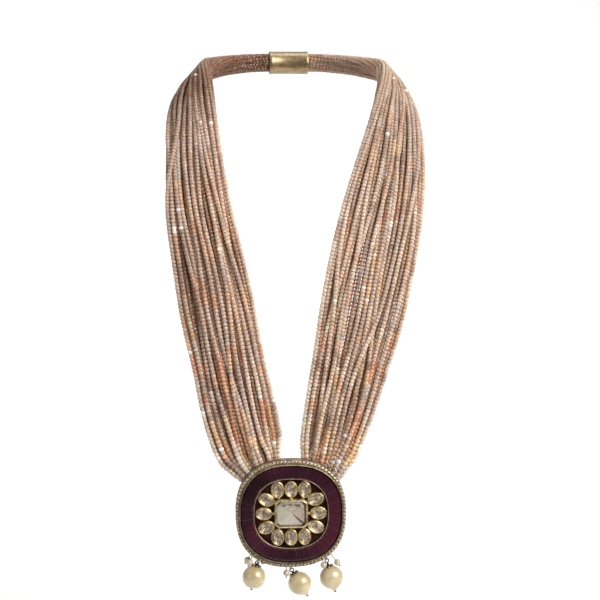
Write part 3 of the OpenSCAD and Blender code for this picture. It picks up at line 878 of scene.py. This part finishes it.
def centreStone():
    cut, tones = centreCut, centreCut["tones"]
    back, front = ([octagon(*ring) for ring in cut[key]] for key in ("foil", "crown"))
    faces = gridFaces(2, 8, False) + [(8 + i, 8 + (i + 1) % 8, 16) for i in range(8)]
    points, faces = foilDish(np.concatenate(back + [onPendant([cut["culet"]])]), faces, 8, cut["depth"])
    # painted reflections and shadow: each step and facet takes its fixed tone
    tints = [tones[key] for key in cut["steps"] + cut["facets"]]
    tints += [tones["edge"]] * (len(faces) - len(tints))
    parts = [(points, faces, 0, tints), stackRings(front) + (1,)]
    for corners in cut["marks"]:
        mark = stackRings([atHeight(corners, height) for height in cut["markHeights"]])
        parts.append(mark + (0, [tones["mark"]] * len(mark[1])))
    return parts


makePiece("centreStone", centreStone(), [centreFoil, clearStone], smoothAngle=0,
          replaced="centre_stone")
print("clear stones made")


# Pearls: slightly uneven, and closed round the pin. A wave has its number round the pearl, its
# twist and its depth
pearlForm = dict(hole=0.05, shortTip=0.12, tipRadius=0.5, endRadius=0.42, tipRise=0.15,
                 tipBend=0.96, bodySteps=48, tipSteps=8, waves=((2, 0.5, 0.006), (3, -0.7, 0.004)))


def pearlShape(radius, nib, seed, segments=72):
    form, tipZ = pearlForm, -radius - nib
    phases = np.random.default_rng(seed).uniform(0, 6.28, len(form["waves"]))
    # the tip starts where a cone from its end touches the ball
    tangent = acos(radius / (radius + nib + 0.001)) if nib > 0.5 else form["shortTip"]
    profile = arc(radius, np.linspace(form["hole"], pi - tangent, form["bodySteps"] + 1))
    lastR, lastZ = profile[-1]
    for t in np.linspace(0, 1, form["tipSteps"] + 1)[1:]:
        profile.append((lastR + (form["tipRadius"] - lastR) * t ** form["tipBend"],
                        lastZ + (tipZ + form["tipRise"] - lastZ) * t))
    profile.append((form["endRadius"], tipZ))
    bulge = [[1 + sum(depth * sin(number * a + phase + twist * z) for (number, twist, depth), phase
                      in zip(form["waves"], phases)) for a in turns(segments)] for r, z in profile]
    rings = turned(profile, segments)
    rings[..., :2] *= np.array(bulge)[..., None]
    return stackRings(rings)


# On each large pearl a shallow cap with grains round its edge, and turns of wire above it. A cap's
# row has the gap to the pearl and the angles from the top between which it runs
dropCap = dict(rows=((0.03, 0.12, 0.36), (0.26, 0.34, 0.12)), rowSteps=6, flareFrom=0.33,
               flare=0.1, sides=28, wire=0.17, coilRadius=0.56, coilGap=0.42, coilPitch=0.34,
               coilTurns=3, coilSteps=12, grains=8, grainPolar=0.35, grainGap=0.3,
               grainRadius=0.56, grainUneven=0.08)


def capParts():
    cap, radius = dropCap, pearl["radius"]
    profile = []
    for gap, start, end in cap["rows"]:
        for polar in np.linspace(start, end, cap["rowSteps"]):
            flare = cap["flare"] if polar > cap["flareFrom"] else 0.0
            profile += arc(radius + gap + flare, [polar])
    coil = [onCircle(cap["coilRadius"], 2 * pi * k / cap["coilSteps"])
            + (radius + cap["coilGap"] + cap["coilPitch"] * k / cap["coilSteps"],)
            for k in range(cap["coilTurns"] * cap["coilSteps"] + 1)]
    parts = [loopRings(turned(profile, cap["sides"])), tube(coil, cap["wire"], 8)]
    places = turned(arc(radius + cap["grainGap"], [cap["grainPolar"]]), cap["grains"])[0]
    for place, a in zip(places, turns(cap["grains"])):
        parts.append(ball(place, cap["grainRadius"] + cap["grainUneven"] * sin(3 * a)) + (1,))
    return parts


for number, drop in enumerate(drops):
    side, (z, x) = drop["name"], onCircle(1, radians(drop["lean"]))
    up = np.array([-x, 0, z])
    middle = np.array([drop["ring"][0], dropY, drop["ring"][1]]) - up * drop["reach"]
    makePiece("dropPearl" + side, [turnTo(pearlShape(pearl["radius"], drop["nib"], number), up, middle)],
              [dropPearl], smoothAngle=60, replaced="drop_pearl_" + side.lower())
    dressNode("drop_pin_" + side.lower(), darkMetal)
    makePiece("dropWrap" + side, [turnTo(part, up, middle) for part in capParts()],
              [darkMetal, rimGold], smoothAngle=60)

for number, (middle, root) in enumerate(seeds):
    shape = pearlShape(pearl["seedRadius"], 0.0, 20 + number, 32)
    makePiece("seedPearl%d" % (number + 1), [turnTo(shape, np.subtract(root, middle), middle)],
              [seedPearl], smoothAngle=60, replaced="seed_pearl_%d" % (number + 1))
print("pearls made")


# Clasp: a plain turned barrel along x, with a rolled edge at each cup
clasp = dict(middle=6.5, sides=64, profile=[
    (-10.8, 6.42), (-11.0, 6.28), (-10.9, 6.05), (-7.9, 6.05), (-7.8, 0.05), (7.8, 0.05),
    (7.9, 6.05), (10.9, 6.05), (11.0, 6.28), (10.8, 6.42), (10.4, 6.5), (9.4, 6.5), (9.2, 6.4),
    (-9.2, 6.4), (-9.4, 6.5), (-10.4, 6.5)])
barrel = loopRings([[(x, clasp["middle"] + r * cos(a), r * sin(a)) for x, r in clasp["profile"]]
                    for a in turns(clasp["sides"])])
makePiece("claspBarrel", [barrel], [rimGold], replaced="clasp")
print("clasp made")


# The bundles' sections from the clasp to the pendant: y, the outward direction on the right (x is
# turned round for the left) and half the thickness
bundleCourse = [
    (6.5, 0, 1, 0, 5.4), (6.5, 0, 1, 0, 5.4), (3, 0.4, 0.9, 0.1, 5.4), (-10, 0.8, 0.6, 0.2, 5.3),
    (-27, 0.8, 0.2, 0.6, 5), (-42, 0.6, -0.2, 0.8, 4.7), (-55, 0.4, -0.6, 0.7, 4.2),
    (-68, 0.2, -0.8, 0.5, 3.9), (-80, 0.1, -0.9, 0.4, 3.7), (-90, 0, -0.9, 0.3, 3.5),
    (-98, 0, -0.9, 0.3, 3.4), (-104, 0, -1, 0.2, 3.4), (-108, 0, -1, 0.2, 3.4),
    (-111, 0, -1, 0.1, 3.2), (-111.7, 0, -1, 0, 2.9)] + [(-111.7, 0, -1, 0, 2.8)] * 4
# and for each side the middle x and z, and half the width
bundleSides = dict(
    Left=[(-8, 0, 5.4), (-13, 0, 5.4), (-25, -0.5, 5.5), (-40, -2.5, 5.7), (-49.5, -5.5, 6.8),
          (-54.2, -11.6, 9.7), (-57, -22.5, 12.9), (-57.6, -38, 14.6), (-57, -58, 16.2),
          (-54.8, -82, 18), (-50.2, -108, 19.4), (-45.5, -134, 20.2), (-40.8, -158, 19.2),
          (-36, -180, 20), (-30.8, -200, 18.8), (-27.6, -208, 15.8), (-24.4, -215, 12),
          (-23.4, -219.4, 10.8), (-23.4, -221, 10.6)],
    Right=[(8, 0, 5.4), (13, 0, 5.4), (25, -0.5, 5.5), (40, -2.5, 5.7), (49.5, -5.5, 6.6),
           (52.8, -11.8, 8.9), (53.4, -22.5, 12.2), (51.4, -38, 15.8), (47.4, -58, 19.4),
           (41.8, -82, 22.2), (35.4, -108, 23), (29.4, -134, 22.8), (23.4, -158, 20.6),
           (17.6, -180, 19), (12.4, -200, 16.6), (10, -208, 14.4), (7.8, -215, 11.8),
           (6.8, -219.4, 10.6), (6.8, -221, 10.4)])

# How the strands lie: a front layer, a middle one in its gaps and a low one
strands = dict(
    seed=11, front=dict(Left=12, Right=13), low=17, stationSteps=8, power=4.0,
    spread=(0.995, 0.94),  # how far out the outermost front and low strands lie
    # of front, sinking, middle and low strands. Every second front one sinks near the pendant
    heights=(0.95, 0.7, 0.2, -0.85), heightStray=0.05,
    sinkBy=(-0.05, 0.75, 0.7, 0.1), sinkFrom=0.68, sinkOver=0.08,
    waves=(1.3, 2.6, 4.7), sway=0.03, wander=0.07,  # together, and each front one by itself
    # front strands that pass over another: their numbers, and the crossing's middle and half
    # length as parts of the way
    crossings=dict(
        Left=[(8, 9, 0.36, 0.05), (8, 10, 0.395, 0.05), (8, 11, 0.43, 0.05), (3, 2, 0.50, 0.07),
              (3, 1, 0.57, 0.07), (5, 6, 0.68, 0.06), (10, 9, 0.60, 0.07)],
        Right=[(3, 4, 0.65, 0.055), (3, 5, 0.69, 0.055), (11, 10, 0.60, 0.07), (6, 7, 0.5, 0.08),
               (9, 8, 0.56, 0.07), (1, 2, 0.47, 0.07)]),
    rise=0.3, dip=0.8,
    # how they push each other apart
    rounds=200, calmRounds=0.6, ease=0.25, pull=0.06, hold=0.5, push=0.42, smoothing=10,
    threadRadius=0.28)

# How the beads look
beads = dict(
    width=dict(Front=2.5, Middle=2.26, Low=2.6), length=2.0, pitch=2.0, tilt=0.05,
    grownAt=(-212, -186), grown=(1.16, 1.0),  # larger near the pendant
    shade=(0.74, 0.585, 0.475), dim=0.34, frontSunkShade=0.8,  # painted shade of the middle, low and sunk strands
    # further up the tones differ less, and the painted shade in the gaps of the right bundle is less
    # dark
    calmAt=(-175, -115), calm=(0.0, 0.42), calmLight=0.95,
    gapShade=dict(Left=(1.0, 0.95), Right=(1.0, 0.6)),
    paintedGlints=dict(share=0.012, tint=(0.97, 0.93, 0.89), seed=51),  # painted glints: a few front beads made pale
    # painted light and shade: how light the strands are at some heights z, darker towards the upper
    # ends, and how light they are from right to left
    lightByHeightAt=(-200, -160, -80, -40, -14),
    lightByHeight=dict(
        Left=[(1.01, 1.0, 0.97), (0.82, 0.78, 0.76), (0.83, 0.79, 0.75), (0.75, 0.71, 0.68),
              (0.30, 0.215, 0.16)],
        Right=[(0.94, 0.93, 0.88), (0.92, 0.86, 0.80), (1.00, 0.99, 0.96), (0.78, 0.76, 0.75),
               (0.65, 0.60, 0.54)]),
    across=dict(Left=(1.18, 0.88), Right=(0.97, 1.03)),
    # colours, their shares of the runs, and how likely a run is to end at each bead
    colours=[(0.76, 0.635, 0.57), (0.60, 0.50, 0.46), (0.45, 0.34, 0.29), (0.79, 0.62, 0.50),
             (0.87, 0.61, 0.405), (0.81, 0.47, 0.33), (0.84, 0.77, 0.70), (0.74, 0.63, 0.49)],
    shares=[0.25, 0.17, 0.07, 0.11, 0.13, 0.07, 0.16, 0.04],
    endings=[0.22, 0.22, 0.35, 0.25, 0.35, 0.42, 0.25, 0.3], longestRun=12)
frontProfile = [(0.5, -1.0), (0.84, -0.76), (1.0, -0.27), (1.0, 0.27), (0.84, 0.76), (0.5, 1.0)]
lowProfile = [(0.82, -1.0), (1.05, -0.45), (1.05, 0.45), (0.82, 1.0)]


def bundleStations(side, steps):
    # a smooth course through the sections, with the way across and out of the bundle
    sign = -1 if side == "Left" else 1
    rows = np.array([(x, y, z, sign * outX, outY, outZ, halfW, halfT) for (x, z, halfW), (
        y, outX, outY, outZ, halfT) in zip(bundleSides[side], bundleCourse)], float)
    last = len(rows) - 1
    result = []
    for i in range(last):
        before, a, b, after = rows[max(i - 1, 0)], rows[i], rows[i + 1], rows[min(i + 2, last)]
        for t in np.arange(steps) / steps:
            result.append(0.5 * (2 * a + (b - before) * t + (2 * before - 5 * a + 4 * b - after)
                                 * t * t + (3 * a - before - 3 * b + after) * t ** 3))
    result = np.array(result + [rows[last]])
    middle = result[:, :3]
    way = unit(np.gradient(middle, axis=0))
    across = unit(np.cross(way, result[:, 3:6]))
    return middle, across, np.cross(across, way), result[:, 6:7], result[:, 7:8]


def sinks(number, front):
    # every second front strand but the outermost
    return number % 2 == 1 and number < front - 1


def strandGoals(side, along, rng):
    # where each strand would lie, as parts of the bundle's half width and half thickness
    front, low, power = strands["front"][side], strands["low"], strands["power"]
    count, middles = 2 * front - 1 + low, slice(front, 2 * front - 1)
    lead, deep = (np.linspace(-s, s, n) for s, n in zip(strands["spread"], (front, low)))
    order = np.concatenate([lead, (lead[1:] + lead[:-1]) / 2, deep])
    loose = np.where(np.arange(count) < front, strands["wander"], 0.0)
    drift = np.zeros((len(along), count))
    for wave in strands["waves"]:
        phase = rng.uniform(0, 1, count)
        drift += loose * rng.uniform(0.3, 1, count) * np.sin(2 * pi * (wave * along + phase))
        together = np.sin(2 * pi * (wave * along + 0.9 * order + rng.uniform()))
        drift += strands["sway"] / wave * together
    drift[:, middles] = (drift[:, 1:front] + drift[:, :front - 1]) / 2
    order = np.repeat(order[None], len(along), axis=0)
    lift = np.zeros((len(along), count))
    for above, below, centre, half in strands["crossings"][side]:
        part = np.clip((along[:, 0] - centre + half) / (2 * half), 0, 1)
        part = part * part * (3 - 2 * part)
        step = (order[:, below] - order[:, above]) * part
        order[:, above] += step
        order[:, below] -= step
        bump = np.exp(-((along[:, 0] - centre) / (0.7 * half)) ** 2)
        lift[:, above] += strands["rise"] * bump
        for number in (below, front + min(above, below)):
            lift[:, number] -= strands["dip"] * bump
    kinds = [int(sinks(k, front)) for k in range(front)] + [2] * (front - 1) + [3] * low
    layer, sink = (np.array(strands[key])[kinds] for key in ("heights", "sinkBy"))
    layer[:front] += rng.uniform(-strands["heightStray"], strands["heightStray"], front)
    sunk = np.clip((along - strands["sinkFrom"]) / strands["sinkOver"], 0, 1)
    rounded = (1 - np.abs(order) ** power) ** (1 / power)
    return order + drift * (1 - order ** 4), (layer + lift - sunk * sink) * rounded, sunk[:, 0]


def settleStrands(goalX, goalY, halfW, halfT, radius):
    # where the bundle is narrow, strands that lie too near are pushed apart into more layers
    count, power = goalX.shape[1], strands["power"]
    roomW, roomT = halfW - radius, halfT - radius
    goalX, goalY = goalX * roomW, goalY * roomT
    hold = np.clip((roomW - 7.5) / 3, 0, 1)  # how well they keep to their places, by the width
    # they may lie as near as if they filled the section evenly. Its area is 3.56 times its halves,
    # and each then takes 1 / 1.1547 of the square of their spacing
    space = 3.56 * (halfW * halfT)[:, :, None] / count
    near = np.minimum(1.5 * radius, 0.97 * np.sqrt(1.1547 * space))
    x, y = goalX.copy(), goalY.copy()
    for number in range(strands["rounds"]):
        early = strands["pull"] if number < strands["rounds"] * strands["calmRounds"] else 0.0
        pull = np.maximum(early, strands["hold"] * hold)[1:-1]
        for line, goal in ((x, goalX), (y, goalY)):
            line[1:-1] += (strands["ease"] * ((line[:-2] + line[2:]) / 2 - line[1:-1])
                           + pull * (goal - line)[1:-1])
        gapX, gapY = (line[:, :, None] - line[:, None, :] for line in (x, y))
        reach = np.sqrt(gapX ** 2 + gapY ** 2) + 1e-6
        push = np.clip(near - reach, 0, None) / reach * strands["push"]
        push[:, np.arange(count), np.arange(count)] = 0
        x += (push * gapX).sum(2)
        y += (push * gapY).sum(2)
        outside = (np.abs(x / roomW) ** power + np.abs(y / roomT) ** power) ** (1 / power)
        for line in (x, y):
            line /= np.maximum(outside, 1)
    for number in range(strands["smoothing"]):
        for line in (x, y):
            line[1:-1] += 0.5 * ((line[:-2] + line[2:]) / 2 - line[1:-1])
    return x, y, hold[:, 0]


def layStrands(side, seed):
    middle, across, out, halfW, halfT = bundleStations(side, strands["stationSteps"])
    along = np.linspace(0, 1, len(middle))[:, None]
    goalX, goalY, sunk = strandGoals(side, along, np.random.default_rng(seed))
    x, y, hold = settleStrands(goalX, goalY, halfW, halfT, beads["width"]["Front"] / 2)
    paths = middle[:, None] + across[:, None] * x[..., None] + out[:, None] * y[..., None]
    return paths.transpose(1, 0, 2), hold, sunk


def byHeight(points, heights, values):
    # values between those given at some heights z, one for each point
    values = np.array(values).reshape(len(heights), -1)
    return np.stack([np.interp(points[:, 2], heights, column) for column in values.T], -1)


def growthAt(points):
    return byHeight(points, beads["grownAt"], beads["grown"])


def walkPath(path, pitch, offset, *fields):
    # points a bead apart along a path, its way there, and the fields' values
    steps = np.linalg.norm(np.diff(path, axis=0), axis=1)
    length = np.concatenate([[0], np.cumsum(steps / growthAt(path[:-1])[:, 0])])
    places = np.arange(offset, length[-1] - pitch * 0.4, pitch)
    points, ahead, behind = (
        np.stack([np.interp(places + step, length, line) for line in path.T], -1)
        for step in (0, 0.8, -0.8))
    return [points, unit(ahead - behind)] + [np.interp(places, length, field) for field in fields]


def turnAngles(way, rng, tilt):
    # Euler angles that carry +Z to each way, rolled at random about it
    way = unit(way + rng.normal(0, tilt, way.shape))
    side = unit(np.cross(way, rng.normal(0, 1, way.shape)))
    other = np.cross(way, side)
    return np.stack([np.arctan2(other[:, 2], way[:, 2]), np.arcsin(np.clip(-side[:, 2], -1, 1)),
                     np.arctan2(side[:, 1], side[:, 0])], -1)


def strandTints(count, rng):
    # runs of a few beads of one colour, softened where two runs meet
    shares = np.array(beads["shares"]) * rng.uniform(0.4, 1.7, len(beads["shares"]))
    shares /= shares.sum()
    tints = []
    while len(tints) < count:
        pick = rng.choice(len(shares), p=shares)
        run = [np.array(beads["colours"][pick]) * rng.uniform(0.86, 1.07)]
        tints += run * min(1 + rng.geometric(beads["endings"][pick]), beads["longestRun"])
    tints = np.array(tints[:count])
    padded = np.concatenate([tints[:1], tints, tints[-1:]])
    soft = 0.1 * padded[:-2] + 0.8 * padded[1:-1] + 0.1 * padded[2:]
    return soft * rng.uniform(0.85, 1.12, (count, 1))


def strandBeads(path, room, paintedShade, side, layer, paintedLight, rng):
    # points, turns, sizes and tints of a strand's beads, which are smaller where it is narrow
    pitch, offset = beads["pitch"] * rng.uniform(0.99, 1.02), rng.uniform(0.3, 1.4)
    points, way, loose, paintedShade = walkPath(path, pitch, offset, room, paintedShade)
    count, paintedShade = len(points), paintedShade[:, None]
    even = beads["calmLight"] * np.average(beads["colours"], axis=0, weights=beads["shares"])
    tint = strandTints(count, rng)
    tint += byHeight(points, beads["calmAt"], beads["calm"]) * (even - tint)
    # painted light and shade by height and across the bundle
    tint *= byHeight(points, beads["lightByHeightAt"], beads["lightByHeight"][side]) * paintedLight
    # painted shade: the middle, low and sunk strands take the shade's colour, less of it further up on
    # the right, and near the pendant the lower ones darken evenly
    shadeInGaps = np.minimum(paintedShade, 1) * byHeight(points, beads["calmAt"], beads["gapShade"][side])
    tint *= 1 - shadeInGaps * (1 - np.array(beads["shade"]))
    tint *= 1 - beads["dim"] * np.maximum(paintedShade - 1, 0)
    width = beads["width"][layer] / 2 * rng.uniform(0.94, 1.04, count)
    width *= np.interp(loose, (0, 1), (0.8, 1))
    length = beads["length"] / 2 * rng.uniform(0.99, 1.05, count)
    size = np.stack([width, width, length], -1) * growthAt(points)
    if layer == "Front":
        # painted glints on a few front beads
        tint[paintedGlintRng.random(count) < beads["paintedGlints"]["share"]] = beads["paintedGlints"]["tint"]
    turn = turnAngles(way, rng, beads["tilt"])
    return points, turn, size, np.concatenate([tint, np.ones((count, 1))], 1)


strandPaths = []
paintedGlintRng = np.random.default_rng(beads["paintedGlints"]["seed"])
frontBead, lowBead = beadShape("frontBead", frontProfile, 8), beadShape("middleBead", lowProfile, 6)
for number, side in enumerate(bundleSides):
    rng = np.random.default_rng(strands["seed"] + number)
    paths, room, sunk = layStrands(side, strands["seed"] + 5 * number)
    strandPaths += list(paths)
    front = strands["front"][side]
    ends = (0, front, 2 * front - 1, len(paths))
    for layer, start, end in zip(beads["width"], ends, ends[1:]):
        rows = []
        # painted light across the bundle, and painted shade on the sunk and lower strands
        for k, paintedLight in zip(range(start, end), np.linspace(*beads["across"][side], end - start)):
            paintedShade = beads["frontSunkShade"] * sunk * sinks(k, front) if layer == "Front" else 1 + sunk
            rows.append(strandBeads(paths[k], room, paintedShade, side, layer, paintedLight, rng))
        cloud = pointCloud("places" + side + layer, *(np.concatenate(column) for column in zip(*rows)))
        count = len(cloud.data.vertices)
        piece = growBeads("beads" + side + layer, cloud, frontBead if layer == "Front" else lowBead,
                          beadGlass, "beads", replaced="bundle_" + side.lower())
        print(piece.name, count, "beads,", len(piece.data.polygons), "faces")
for shape in (frontBead, lowBead):
    bpy.data.objects.remove(shape)


def threadPaths(slack=0.25):
    # each strand's own line, and the loop in which it goes round the bar on the pendant's back
    at, high, deep = pendant["at"], mount["barHeight"], mount["barDepth"]
    loop = [(-1.6, slack), (-deep, slack), (-deep - slack, -0.1), (-deep - slack, -high + 0.1),
            (-deep, -high - slack), (-0.4, -high - slack)]
    loops = [[path[-1]] + [(path[-1][0], at[1] - height, at[2] + mount["barZ"] + high + level)
                           for height, level in loop] for path in strandPaths]
    return [path[::2] for path in strandPaths] + [np.array(line) for line in loops]


threadLines = bpy.data.curves.new("threadLines", "CURVE")
threadLines.dimensions = "3D"
for path in threadPaths():
    spline = threadLines.splines.new("POLY")
    spline.points.add(len(path) - 1)
    spline.points.foreach_set("co", np.insert(path * mm, 3, 1.0, axis=1).ravel())
growPiece("strandThreads", addObject("threadLines", threadLines), threadTree(),
          {"Thread radius": strands["threadRadius"] * mm, "Thread material": thread}, "beads",
          smoothAngle=60)
print("strands made")


# Stage: a pale floor that rises into a pale wall, and soft light. Its lengths are metres
stage = dict(colour=(0.93, 0.93, 0.93), gap=0.06, halfWidth=0.75, front=-0.3, back=1.6, bend=0.5,
             bendSteps=16, high=0.5)
lamps = dict(
    key=dict(place=(1.0, -1.05, 0.6), aim=(0, -0.08, -0.15), size=(1.1, 1.1), power=31,
             colour=(1, 0.96, 0.92), spread=180),
    fill=dict(place=(-1.4, -1.1, 0.1), aim=(0, -0.05, -0.15), size=(0.9, 0.9), power=4,
              colour=(1, 0.97, 0.94), spread=180),
    wall=dict(place=(0, 0.3, 1.3), aim=(0, 1.2, -0.1), size=(1.3, 1.0), power=9.5,
              colour=(0.9, 0.95, 1), spread=120))
surround = dict(way=(0.0, 0.4, 0.9), tones=[
    (0.25, (0.12, 0.10, 0.085)), (0.5, (0.20, 0.18, 0.16)), (0.8, (0.55, 0.54, 0.53))])


def makeStage(colour, gap, halfWidth, front, back, bend, bendSteps, high):
    floorZ = cadBox[0][2] - gap
    curve = [(back - bend + bend * sin(a), floorZ + bend - bend * cos(a))
             for a in np.linspace(0, pi / 2, bendSteps + 1)]
    profile = [(front, floorZ)] + curve + [(back, high)]
    points = [(x, y, z) for y, z in profile for x in (-halfWidth, halfWidth)]
    faces = [(k, k + 1, k + 3, k + 2) for k in range(0, 2 * len(profile) - 2, 2)]
    mesh = newMesh("paleFloor", points, faces)
    mesh.polygons.foreach_set("use_smooth", [True] * len(faces))
    mesh.materials.append(newMaterial("palePaint", Roughness=0.9, Base_Color=colour + (1.0,))[0])
    addObject("paleFloor", mesh)


def makeLamp(name, place, aim, size, power, colour, spread):
    data = bpy.data.lights.new(name, "AREA")
    data.shape = "RECTANGLE"
    data.size, data.size_y = size
    data.energy, data.color, data.spread = power, colour, radians(spread)
    lamp = addObject(name, data)
    lamp.location = place
    lookAlong(lamp, Vector(aim) - Vector(place))


def makeWorld(way, tones):
    # lighter above and in the back
    world = bpy.data.worlds.new("softRoom")
    world.use_nodes = True
    tree = world.node_tree
    height = addDot(tree, addNode(tree, "TexCoord")["Generated"], way)
    colour = addRamp(tree, addRange(tree, height, 0, 1, -1, 1), tones)
    tree.links.new(colour, tree.nodes["Background"].inputs["Color"])
    bpy.context.scene.world = world


makeStage(**stage)
for name, lamp in lamps.items():
    makeLamp(name, **lamp)
makeWorld(**surround)
bpy.context.scene.view_settings.view_transform = "Standard"
print("stage and lights made")
